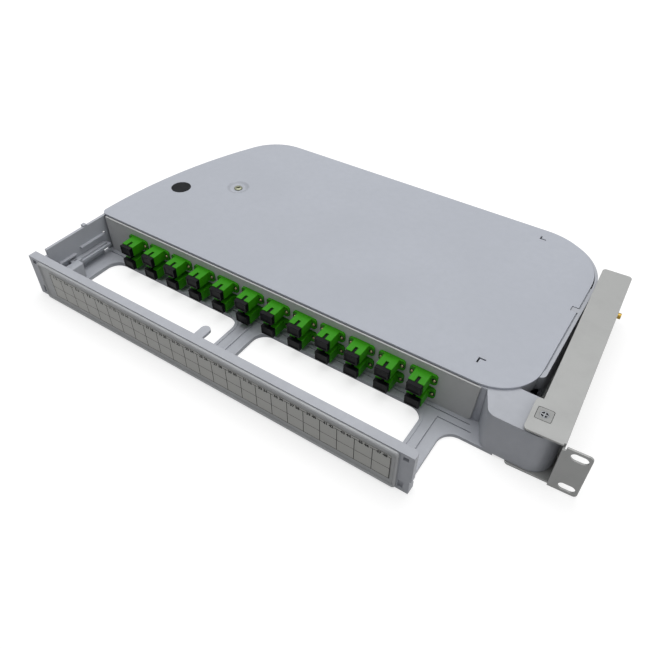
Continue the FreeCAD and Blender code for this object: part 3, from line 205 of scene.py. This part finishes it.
def moulded(
    name,
    colour,
    rough=0.5,
    grain=2600,
    depth=0.00003,
    vary=0.05,
    wear_and_painted_light=0.25,
    radius=0.0005,
    gloss=0.42,
    edge_wear_and_painted_light_tone=1.7,
    dish_shade=None,
):
    """Moulded plastic: fine spark-eroded grain, slow colour drift, and a tone on edges: lighter for rubbed
    wear and, on the caps' rims, painted highlight; darker on the adapter plate as painted shade.

    dish_shade is (centre, inner, outer, fade) of a ring of painted shade on the dish's slope, for the seat of
    the lid's screw.
    """
    n = Nodes(name)
    slow = n.noise(14, 4)
    cloud = n.noise(160, 5, 0.6)
    drift = n.mix(n.spread(slow, 0.35, 0.65, 0, 1), scaled(colour, 1 - vary), scaled(colour, 1 + vary))
    speck = n.mix(n.spread(cloud, 0.35, 0.7, 0, 0.5), drift, scaled(colour, 1 - vary * 1.6))
    edge, rounded = n.edges(radius)
    patchy = n.maths("MULTIPLY", edge, n.spread(cloud, 0.35, 0.65, 0.4, 1.0))
    # Edge tone: rubbed wear; on the caps also a painted highlight, and on the adapter plate painted shade.
    worn = n.mix(n.maths("MULTIPLY", patchy, wear_and_painted_light), speck, scaled(colour, edge_wear_and_painted_light_tone))
    if dish_shade:
        # A darker ring on the dish's slope: painted shade.
        worn = n.mix(n.ring(*dish_shade), worn, scaled(colour, DISH_SHADE_TONE))
    n.link(worn, n.shader.inputs["Base Color"])
    n.link(n.spread(cloud, 0.3, 0.7, rough - 0.05, rough + 0.07), n.shader.inputs["Roughness"])
    bump = n.add("ShaderNodeBump")
    bump.inputs["Distance"].default_value = depth
    bump.inputs["Strength"].default_value = 0.55
    n.link(n.noise(grain, 2, 0.5), bump.inputs["Height"])
    n.link(rounded, bump.inputs["Normal"])
    n.link(bump.outputs["Normal"], n.shader.inputs["Normal"])
    n.shader.inputs["Specular IOR Level"].default_value = gloss
    return n.material


def coated_steel(name, colour):
    """Sheet steel under a thin textured coat, a little brighter where edges are rubbed."""
    n = Nodes(name)
    slow = n.noise(9, 3)
    peel = n.noise(900, 3, 0.5)
    smudge = n.noise(55, 5, 0.62)
    base = n.mix(n.spread(slow, 0.35, 0.65, 0, 1), scaled(colour, 0.96), scaled(colour, 1.04))
    soiled = n.mix(n.spread(smudge, 0.5, 0.75, 0, 0.35), base, scaled(colour, 0.86))
    edge, rounded = n.edges(0.0006)
    worn = n.mix(n.maths("MULTIPLY", edge, 0.35), soiled, scaled(colour, 1.5))
    n.link(worn, n.shader.inputs["Base Color"])
    n.link(n.spread(smudge, 0.3, 0.7, 0.36, 0.52), n.shader.inputs["Roughness"])
    n.shader.inputs["Metallic"].default_value = 0.15
    bump = n.add("ShaderNodeBump")
    bump.inputs["Distance"].default_value = 0.00004
    bump.inputs["Strength"].default_value = 0.5
    n.link(peel, bump.inputs["Height"])
    n.link(rounded, bump.inputs["Normal"])
    n.link(bump.outputs["Normal"], n.shader.inputs["Normal"])
    return n.material


def bare_metal(name, colour, rough):
    """Turned or plated metal with fine tool lines and a darker film in places."""
    n = Nodes(name)
    lines = n.noise(700, 2, 0.5, (1, 1, 9))
    film = n.noise(240, 4, 0.6)
    tint = n.mix(n.spread(film, 0.35, 0.7, 0, 0.6), colour, scaled(colour, 0.6))
    edge, rounded = n.edges(0.0002)
    n.link(n.mix(n.maths("MULTIPLY", edge, 0.4), tint, scaled(colour, 1.4)), n.shader.inputs["Base Color"])
    n.link(n.spread(film, 0.3, 0.7, rough - 0.06, rough + 0.12), n.shader.inputs["Roughness"])
    n.shader.inputs["Metallic"].default_value = 1.0
    bump = n.add("ShaderNodeBump")
    bump.inputs["Distance"].default_value = 0.00002
    bump.inputs["Strength"].default_value = 0.6
    n.link(lines, bump.inputs["Height"])
    n.link(rounded, bump.inputs["Normal"])
    n.link(bump.outputs["Normal"], n.shader.inputs["Normal"])
    return n.material


def card(name, colour):
    """Card behind the label plate's clear face: fibres and a little yellowing."""
    n = Nodes(name)
    fibres = n.noise(1500, 4, 0.7, (1, 1, 3))
    cloud = n.noise(60, 4, 0.6)
    base = n.mix(n.spread(cloud, 0.3, 0.7, 0, 1), scaled(colour, 0.94), scaled(colour, 1.05))
    tint = n.mix(n.spread(fibres, 0.4, 0.75, 0, 0.4), base, scaled(colour, 0.84))
    n.link(tint, n.shader.inputs["Base Color"])
    n.link(n.spread(cloud, 0.3, 0.7, 0.4, 0.55), n.shader.inputs["Roughness"])
    bump = n.add("ShaderNodeBump")
    bump.inputs["Distance"].default_value = 0.00001
    n.link(fibres, bump.inputs["Height"])
    n.link(bump.outputs["Normal"], n.shader.inputs["Normal"])
    n.shader.inputs["Coat Weight"].default_value = 0.3
    n.shader.inputs["Coat Roughness"].default_value = 0.2
    return n.material


BODY_GREY = srgb(170, 173, 180)
finishes = {
    "bracket_steel": coated_steel("bracket_steel_finish", srgb(160, 161, 160)),
    "bush_plastic": moulded("bush_plastic_finish", srgb(150, 151, 150), 0.5),
    "brass": bare_metal("brass_finish", srgb(166, 138, 68), 0.34),
    "tray_plastic": moulded("tray_plastic_finish", BODY_GREY, 0.48),
    # The lid's finish carries a ring of painted shade on the dish round its screw.
    "lid_plastic": moulded(
        "lid_plastic_finish",
        srgb(170, 174, 183),
        0.46,
        vary=0.025,
        dish_shade=(TRAY @ LID_SCREW, 8.8 * MM, 10.3 * MM, 1.1 * MM),
    ),
    "label_plastic": moulded("label_plastic_finish", srgb(168, 170, 172), 0.42),
    "strip_card": card("strip_card_finish", srgb(161, 161, 157)),
    # The plate's edges are darkened, dimming its lit top edge: painted shade.
    "plate_grey": moulded(
        "plate_grey_finish",
        srgb(188, 189, 189),
        0.55,
        vary=0.03,
        wear_and_painted_light=0.9,
        radius=0.0009,
        gloss=0.25,
        edge_wear_and_painted_light_tone=0.5,
    ),
    "adapter_green": moulded(
        "adapter_green_finish", srgb(48, 136, 8), 0.4, vary=0.06, wear_and_painted_light=0.12, radius=0.00035, gloss=0.14
    ),
    # The caps' edges are lightened: partly wear, partly painted highlight for their lit rims.
    "cap_plastic": moulded(
        "cap_plastic_finish", srgb(9, 9, 13), 0.45, vary=0.2, wear_and_painted_light=0.35, radius=0.0004, gloss=0.1
    ),
    "comb_plastic": moulded("comb_plastic_finish", srgb(210, 210, 206), 0.42),
    "screw_steel": bare_metal("screw_steel_finish", srgb(150, 146, 130), 0.36),
}

for part in frame["record"]["subparts"]:
    node = frame["nodes"][part["node"]]
    finish = finishes[part["material_slot"]]
    if node.material_slots:
        for holder in node.material_slots:
            holder.material = finish
    else:
        node.data.materials.append(finish)


pin_metal = bare_metal("pivot_pin_finish", srgb(132, 134, 137), 0.5)
plug_plastic = moulded("lid_plug_finish", srgb(16, 18, 22), 0.5, vary=0.15, wear_and_painted_light=0.15, gloss=0.1)
own_finishes = {
    "side_latch": finishes["tray_plastic"],
    "pivot_screw_top": pin_metal,
    "pivot_screw_bottom": pin_metal,
    "lid_plug": plug_plastic,
}
for name, finish in own_finishes.items():
    for holder in frame["nodes"][name].material_slots:
        holder.material = finish


def soften(names, width, segments=2):
    """Rounds a node's sharp edges a little, as a mould or a press leaves them."""
    for name in names:
        node = frame["nodes"][name]
        weld = node.modifiers.new("weld", "WELD")
        weld.merge_threshold = 0.000002
        bevel = node.modifiers.new("soft_edges", "BEVEL")
        bevel.width = width * MM
        bevel.segments = segments
        bevel.limit_method = "ANGLE"
        bevel.angle_limit = math.radians(38)
        bevel.use_clamp_overlap = True
        bevel.harden_normals = True


ADAPTERS = [f"adapter_{number:02d}" for number in range(1, 25)]
soften(ADAPTERS, 0.25)
soften(["front_caps_upper", "front_caps_lower", "rear_caps_upper", "rear_caps_lower"], 0.35)
soften(["label_plate"], 0.35)
soften(["lid", "adapter_plate"], 0.3)
soften(["rack_bracket"], 0.3)


# Mesh helpers

def mesh_object(name, mesh_data, material, body):
    """A new object from finished mesh data, riding on a body."""
    item = bpy.data.objects.new(name, mesh_data)
    bpy.context.scene.collection.objects.link(item)
    item.data.materials.append(material)
    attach(item, body)
    return item


def lathe(mesh, centre, axis, profile, sides):
    """A turned shape: profile is (radius, distance along the axis) from the front to the back."""
    turn = axis.to_track_quat("Z", "Y").to_matrix()
    rings = []
    for radius, along in profile:
        if radius == 0:
            rings.append([mesh.verts.new(centre + turn @ Vector((0, 0, along)))])
            continue
        ring = []
        for step in range(sides):
            angle = math.tau * step / sides
            offset = Vector((math.cos(angle) * radius, math.sin(angle) * radius, along))
            ring.append(mesh.verts.new(centre + turn @ offset))
        rings.append(ring)
    for first, second in zip(rings, rings[1:]):
        for step in range(sides):
            after = (step + 1) % sides
            if len(first) == 1:
                mesh.faces.new((first[0], second[step], second[after]))
            elif len(second) == 1:
                mesh.faces.new((first[after], first[step], second[0]))
            else:
                mesh.faces.new((first[after], first[step], second[step], second[after]))


def finish_mesh(name, mesh, matrix, smooth_angle=None):
    """Writes a bmesh out in the row frame, in metres."""
    bmesh.ops.recalc_face_normals(mesh, faces=mesh.faces)
    bmesh.ops.transform(mesh, matrix=matrix, verts=mesh.verts)
    data = bpy.data.meshes.new(name)
    mesh.to_mesh(data)
    mesh.free()
    if smooth_angle:
        data.shade_smooth()
        data.set_sharp_from_angle(angle=math.radians(smooth_angle))
    return data


def upright_slab(mesh, corners, low, high):
    """A slab with the given plan, corners in order, between two heights."""
    bottom = [mesh.verts.new((x, y, low)) for x, y in corners]
    top = [mesh.verts.new((x, y, high)) for x, y in corners]
    mesh.faces.new(bottom)
    mesh.faces.new(top)
    count = len(corners)
    for step in range(count):
        after = (step + 1) % count
        mesh.faces.new((bottom[step], bottom[after], top[after], top[step]))


def eased_edges(mesh, width, segments=2):
    bmesh.ops.bevel(
        mesh,
        geom=mesh.edges[:],
        offset=width,
        segments=segments,
        profile=0.5,
        affect="EDGES",
        clamp_overlap=True,
    )


def plate_end_wall():
    """The short wall that closes the compartment between the adapter plate's end and the housing."""
    mesh = bmesh.new()
    upright_slab(mesh, [(-47.3, 2.95), (-40.65, 2.95), (-41.55, 4.95), (-47.3, 4.95)], 2.52, 38.95)
    eased_edges(mesh, 0.25)
    data = finish_mesh("plate_end_wall", mesh, TRAY, 40)
    return mesh_object("plate_end_wall", data, finishes["tray_plastic"], "tray")


def latch_block():
    """The block beside the left arm, behind the bar, with rounded rear corners and a step at its foot.

    It stops 0.8 mm short of the sliding latch.
    """
    mesh = bmesh.new()
    left, right, front, rear = -412.4, -403.6, -68.9, -42.0
    low, high, foot_high = 2.6, 19.4, 4.4
    foot_reach = 0.8
    middle = (left + right) / 2
    plan = [
        (left, front), (right, front), (right, rear - 2.2), (right - 0.7, rear - 0.6), (right - 2.2, rear),
        (left + 2.2, rear), (left + 0.7, rear - 0.6), (left, rear - 2.2),
    ]
    upright_slab(mesh, plan, low, high)
    foot = [
        (x + (foot_reach if x > middle else 0), y + (foot_reach if y > front else 0)) for x, y in plan
    ]
    upright_slab(mesh, foot, low, foot_high)
    eased_edges(mesh, 0.35)
    data = finish_mesh("latch_block", mesh, TRAY, 40)
    return mesh_object("latch_block", data, finishes["tray_plastic"], "tray")


def lower_flange_edge():
    """The bracket's lower flange is as wide behind the pivot as under it."""
    mesh = bmesh.new()
    rear = 177.3
    near = 13.02
    plan = [(-4.4, near), (-4.4, rear), (-9.9, rear), (-11.0, rear - 0.5), (-11.5, rear - 1.6), (-11.5, near)]
    upright_slab(mesh, plan, 0.0, 1.5)
    eased_edges(mesh, 0.12)
    data = finish_mesh("lower_flange_edge", mesh, BRACKET, 40)
    return mesh_object("lower_flange_edge", data, finishes["bracket_steel"], "bracket")


def screw_head(mesh, x, z):
    """A small pan-head screw with a round recess, on the front of an adapter's flange."""
    centre = Vector((x, FLANGE_FRONT, z))
    front = Vector((0, -1, 0))
    profile = [(0, 0.35), (0.45, 0.35), (0.6, 0.75), (0.9, 0.65), (1.1, 0.35), (1.15, 0.0), (0, 0.0)]
    lathe(mesh, centre, front, profile, 14)


def screw_shade_ring(mesh, x, z):
    """A dark ring round an adapter screw, sunk a little: painted shade in the hole round the screw."""
    profile = [(1.12, 0.05), (1.2, 0.03), (1.8, 0.03), (1.95, 0.08), (2.05, 0.0)]
    lathe(mesh, Vector((x, FLANGE_FRONT, z)), Vector((0, -1, 0)), profile, 18)


def adapter_screws():
    """Two screws hold each adapter's flange to the plate."""
    # Two pieces: the screw heads, and dark rings of painted shade round them.
    for name, shape, finish in (
        ("adapter_screws", screw_head, passivated),
        ("adapter_screw_shade_rings", screw_shade_ring, ink_and_shade),
    ):
        mesh = bmesh.new()
        for column in range(ADAPTER_COLUMNS):
            for height in ROW_HEIGHTS:
                for side in (-1, 1):
                    shape(mesh, FIRST_ADAPTER + ADAPTER_PITCH * column + side * SCREW_REACH, height)
        data = finish_mesh(name, mesh, TRAY, 40)
        mesh_object(name, data, finish, "tray")


def lid_screw():
    """The lid's screw, with a domed ring round its socket, in place of the plain solid."""
    mesh = bmesh.new()
    socket = [(0, -1.6), (1.3, -1.6), (1.6, -0.3)]
    rim = [(2.0, 0.0), (2.8, -0.05), (3.6, -0.35), (4.0, -0.85), (4.0, -1.55)]
    shank = [(2.0, -1.6), (2.0, -12.0), (1.6, -12.55), (0, -12.55)]
    lathe(mesh, LID_SCREW, Vector((0, 0, 1)), socket + rim + shank, 40)
    data = finish_mesh("lid_screw_turned", mesh, TRAY, 35)
    screw = mesh_object("lid_screw_turned", data, dull_steel, "cover")
    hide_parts("lid_screw")


# Label strip

def quad(mesh, left, right, bottom, top, y):
    corners = ((left, bottom), (right, bottom), (right, top), (left, top))
    mesh.faces.new([mesh.verts.new((x, y, z)) for x, z in corners])


def strip_lines():
    """The thin dark lines that divide the strip into cells."""
    mesh = bmesh.new()
    width = (STRIP_RIGHT - STRIP_LEFT) / STRIP_CELLS
    middle = (GRID_TOP + GRID_BOTTOM) / 2 - 0.4
    half = 0.26
    y = STRIP_FACE - 0.03
    for line in range(STRIP_CELLS + 1):
        x = STRIP_LEFT + width * line
        x = min(max(x, STRIP_LEFT + half), STRIP_RIGHT - half)
        quad(mesh, x - half, x + half, GRID_BOTTOM, GRID_TOP, y)
    for z in (GRID_BOTTOM + half, middle):
        quad(mesh, STRIP_LEFT, STRIP_RIGHT, z - half * 0.7, z + half * 0.7, y - 0.005)
    for cell in range(STRIP_CELLS):
        left = STRIP_LEFT + width * cell
        for start, end in ((0, 0.16), (0.84, 1)):
            quad(mesh, left + width * start, left + width * end, GRID_TOP - half, GRID_TOP + half, y - 0.005)
    data = finish_mesh("strip_lines", mesh, TRAY)
    return mesh_object("strip_lines", data, ink_and_shade, "tray")


def strip_numbers():
    """Plain port numbers, two at the head of each cell."""
    mesh = bmesh.new()
    width = (STRIP_RIGHT - STRIP_LEFT) / STRIP_CELLS
    for cell in range(STRIP_CELLS):
        words = bpy.data.curves.new("number", "FONT")
        words.body = f"{cell * 2 + 1} {cell * 2 + 2}"
        words.size = 3.6
        words.align_x = "CENTER"
        words.resolution_u = 2
        words.offset = 0.2
        holder = bpy.data.objects.new("number", words)
        bpy.context.scene.collection.objects.link(holder)
        bpy.context.view_layer.update()
        shape = bpy.data.meshes.new_from_object(holder)
        x = STRIP_LEFT + width * (cell + 0.5)
        z = GRID_TOP - 1.2
        place = Matrix.Translation((x, STRIP_FACE - 0.04, z)) @ Matrix.Rotation(math.radians(90), 4, "X")
        shape.transform(place)
        mesh.from_mesh(shape)
        bpy.data.objects.remove(holder)
        bpy.data.meshes.remove(shape)
        bpy.data.curves.remove(words)
    data = finish_mesh("strip_numbers", mesh, TRAY)
    return mesh_object("strip_numbers", data, ink_and_shade, "tray")


def seam_ring(mesh, half, width, corner, height):
    """A thin flat square ring with round corners."""
    def outline(reach, round_off):
        points = []
        for quarter in range(4):
            for step in range(5):
                angle = math.radians(quarter * 90 + step * 22.5)
                centre_x = (reach - round_off) * (1, -1, -1, 1)[quarter]
                centre_y = (reach - round_off) * (1, 1, -1, -1)[quarter]
                across = math.cos(angle) * round_off
                along = math.sin(angle) * round_off
                points.append((centre_x + across, centre_y + along))
        return [mesh.verts.new((x, y, height)) for x, y in points]
    inner = outline(half - width / 2, corner - width / 2)
    outer = outline(half + width / 2, corner + width / 2)
    count = len(inner)
    for step in range(count):
        after = (step + 1) % count
        mesh.faces.new((inner[step], inner[after], outer[after], outer[step]))


def bush_seams():
    """The dark joint between each pivot bush and the bracket round it."""
    mesh = bmesh.new()
    half, width, corner = 5.5, 0.35, 1.4
    for height in (BRACKET_TOP + SEAM_GAP, -SEAM_GAP):
        seam_ring(mesh, half, width, corner, height)
    data = finish_mesh("bush_seams", mesh, BRACKET)
    return mesh_object("bush_seams", data, ink_and_shade, "bracket")


passivated = bare_metal("passivated_screw_finish", srgb(158, 153, 116), 0.32)
dull_steel = bare_metal("lid_screw_finish", srgb(134, 136, 118), 0.36)
# Dark ink for the strip's print and the bush seams, also used as painted shade round the adapter screws.
ink_and_shade = moulded("strip_ink_and_shade", srgb(34, 34, 34), 0.6, vary=0.12, wear_and_painted_light=0.0, gloss=0.15)
adapter_screws()
lid_screw()
plate_end_wall()
latch_block()
lower_flange_edge()
strip_lines()
strip_numbers()
bush_seams()


# Floor, light and camera

def white_ground(name, diffuse):
    """A pale floor: white where the light falls on it, and darker in the object's shadow."""
    n = Nodes(name)
    n.shader.inputs["Base Color"].default_value = (diffuse, diffuse, diffuse, 1)
    n.shader.inputs["Roughness"].default_value = 0.9
    n.shader.inputs["Specular IOR Level"].default_value = 0.0
    path = n.add("ShaderNodeLightPath")
    seen = n.maths("MAXIMUM", path.outputs["Is Camera Ray"], path.outputs["Is Glossy Ray"])
    seen = n.maths("MAXIMUM", seen, path.outputs["Is Transmission Ray"])
    n.shader.inputs["Emission Color"].default_value = (1, 1, 1, 1)
    reach = n.add("ShaderNodeVectorMath", operation="DISTANCE")
    n.link(n.place, reach.inputs[0])
    reach.inputs[1].default_value = (-0.2, 0.05, 0)
    level = n.spread(reach.outputs["Value"], 0.6, 1.3, 1.1 - diffuse, 1.0)
    n.link(n.maths("MULTIPLY", seen, level), n.shader.inputs["Emission Strength"])
    return n.material


def ground():
    mesh = bmesh.new()
    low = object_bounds()[0][2]
    size = 6.0
    steps = 6
    below = 0.0002
    for step in range(steps + 1):
        for other in range(steps + 1):
            mesh.verts.new((size * (step / steps - 0.5), size * (other / steps - 0.5), low - below))
    mesh.verts.ensure_lookup_table()
    for step in range(steps):
        for other in range(steps):
            first = step * (steps + 1) + other
            corners = (first, first + steps + 1, first + steps + 2, first + 1)
            mesh.faces.new([mesh.verts[i] for i in corners])
    data = bpy.data.meshes.new("floor")
    mesh.to_mesh(data)
    mesh.free()
    item = bpy.data.objects.new("floor", data)
    bpy.context.scene.collection.objects.link(item)
    item.data.materials.append(white_ground("floor_white", 0.42))


def world():
    made = bpy.data.worlds.new("plain_white")
    bpy.context.scene.world = made
    made.use_nodes = True
    tree = made.node_tree
    background = tree.nodes["Background"]
    path = tree.nodes.new("ShaderNodeLightPath")
    most = tree.nodes.new("ShaderNodeMath")
    most.operation = "MAXIMUM"
    tree.links.new(path.outputs["Is Camera Ray"], most.inputs[0])
    tree.links.new(path.outputs["Is Glossy Ray"], most.inputs[1])
    more = tree.nodes.new("ShaderNodeMath")
    more.operation = "MAXIMUM"
    tree.links.new(most.outputs["Value"], more.inputs[0])
    tree.links.new(path.outputs["Is Transmission Ray"], more.inputs[1])
    level = tree.nodes.new("ShaderNodeMapRange")
    level.inputs["To Min"].default_value = 0.3
    level.inputs["To Max"].default_value = 1.0
    tree.links.new(more.outputs["Value"], level.inputs["Value"])
    tree.links.new(level.outputs["Result"], background.inputs["Strength"])
    background.inputs["Color"].default_value = (1, 1, 1, 1)


def lamp(name, place, aim, size, power):
    data = bpy.data.lights.new(name, "AREA")
    data.shape = "SQUARE"
    data.size = size
    data.energy = power
    item = bpy.data.objects.new(name, data)
    bpy.context.scene.collection.objects.link(item)
    item.location = place
    item.rotation_euler = (Vector(aim) - Vector(place)).to_track_quat("-Z", "Y").to_euler()


def photo_camera():
    """The camera solved from the photograph's corners."""
    azimuth = math.radians(30.707)
    rise = math.radians(43.360)
    roll = math.radians(0.406)
    back = Vector((math.sin(azimuth) * math.cos(rise), -math.cos(azimuth) * math.cos(rise), math.sin(rise)))
    level = Vector((math.cos(azimuth), math.sin(azimuth), 0))
    upright = back.cross(level)
    right = level * math.cos(roll) + upright * math.sin(roll)
    up = upright * math.cos(roll) - level * math.sin(roll)
    data = bpy.data.cameras.new("photo_camera")
    photo_width = 653
    focal_pixels = 633.94
    data.sensor_fit = "HORIZONTAL"
    data.sensor_width = 36
    data.lens = focal_pixels / photo_width * data.sensor_width
    data.clip_start = 0.01
    data.clip_end = 20
    item = bpy.data.objects.new("photo_camera", data)
    bpy.context.scene.collection.objects.link(item)
    turn = Matrix((right, up, back)).transposed().to_4x4()
    item.matrix_world = Matrix.Translation((-0.018728, -0.280224, 0.347819)) @ turn
    bpy.context.scene.camera = item


ground()
world()
lamp("overhead", (-0.35, 0.3, 1.3), (-0.2, 0.0, 0.0), 1.5, 16.5)
lamp("right_fill", (2.2, -0.3, 1.4), (-0.2, 0.0, 0.0), 1.8, 11.0)
photo_camera()
bpy.context.scene.view_settings.view_transform = "Standard"
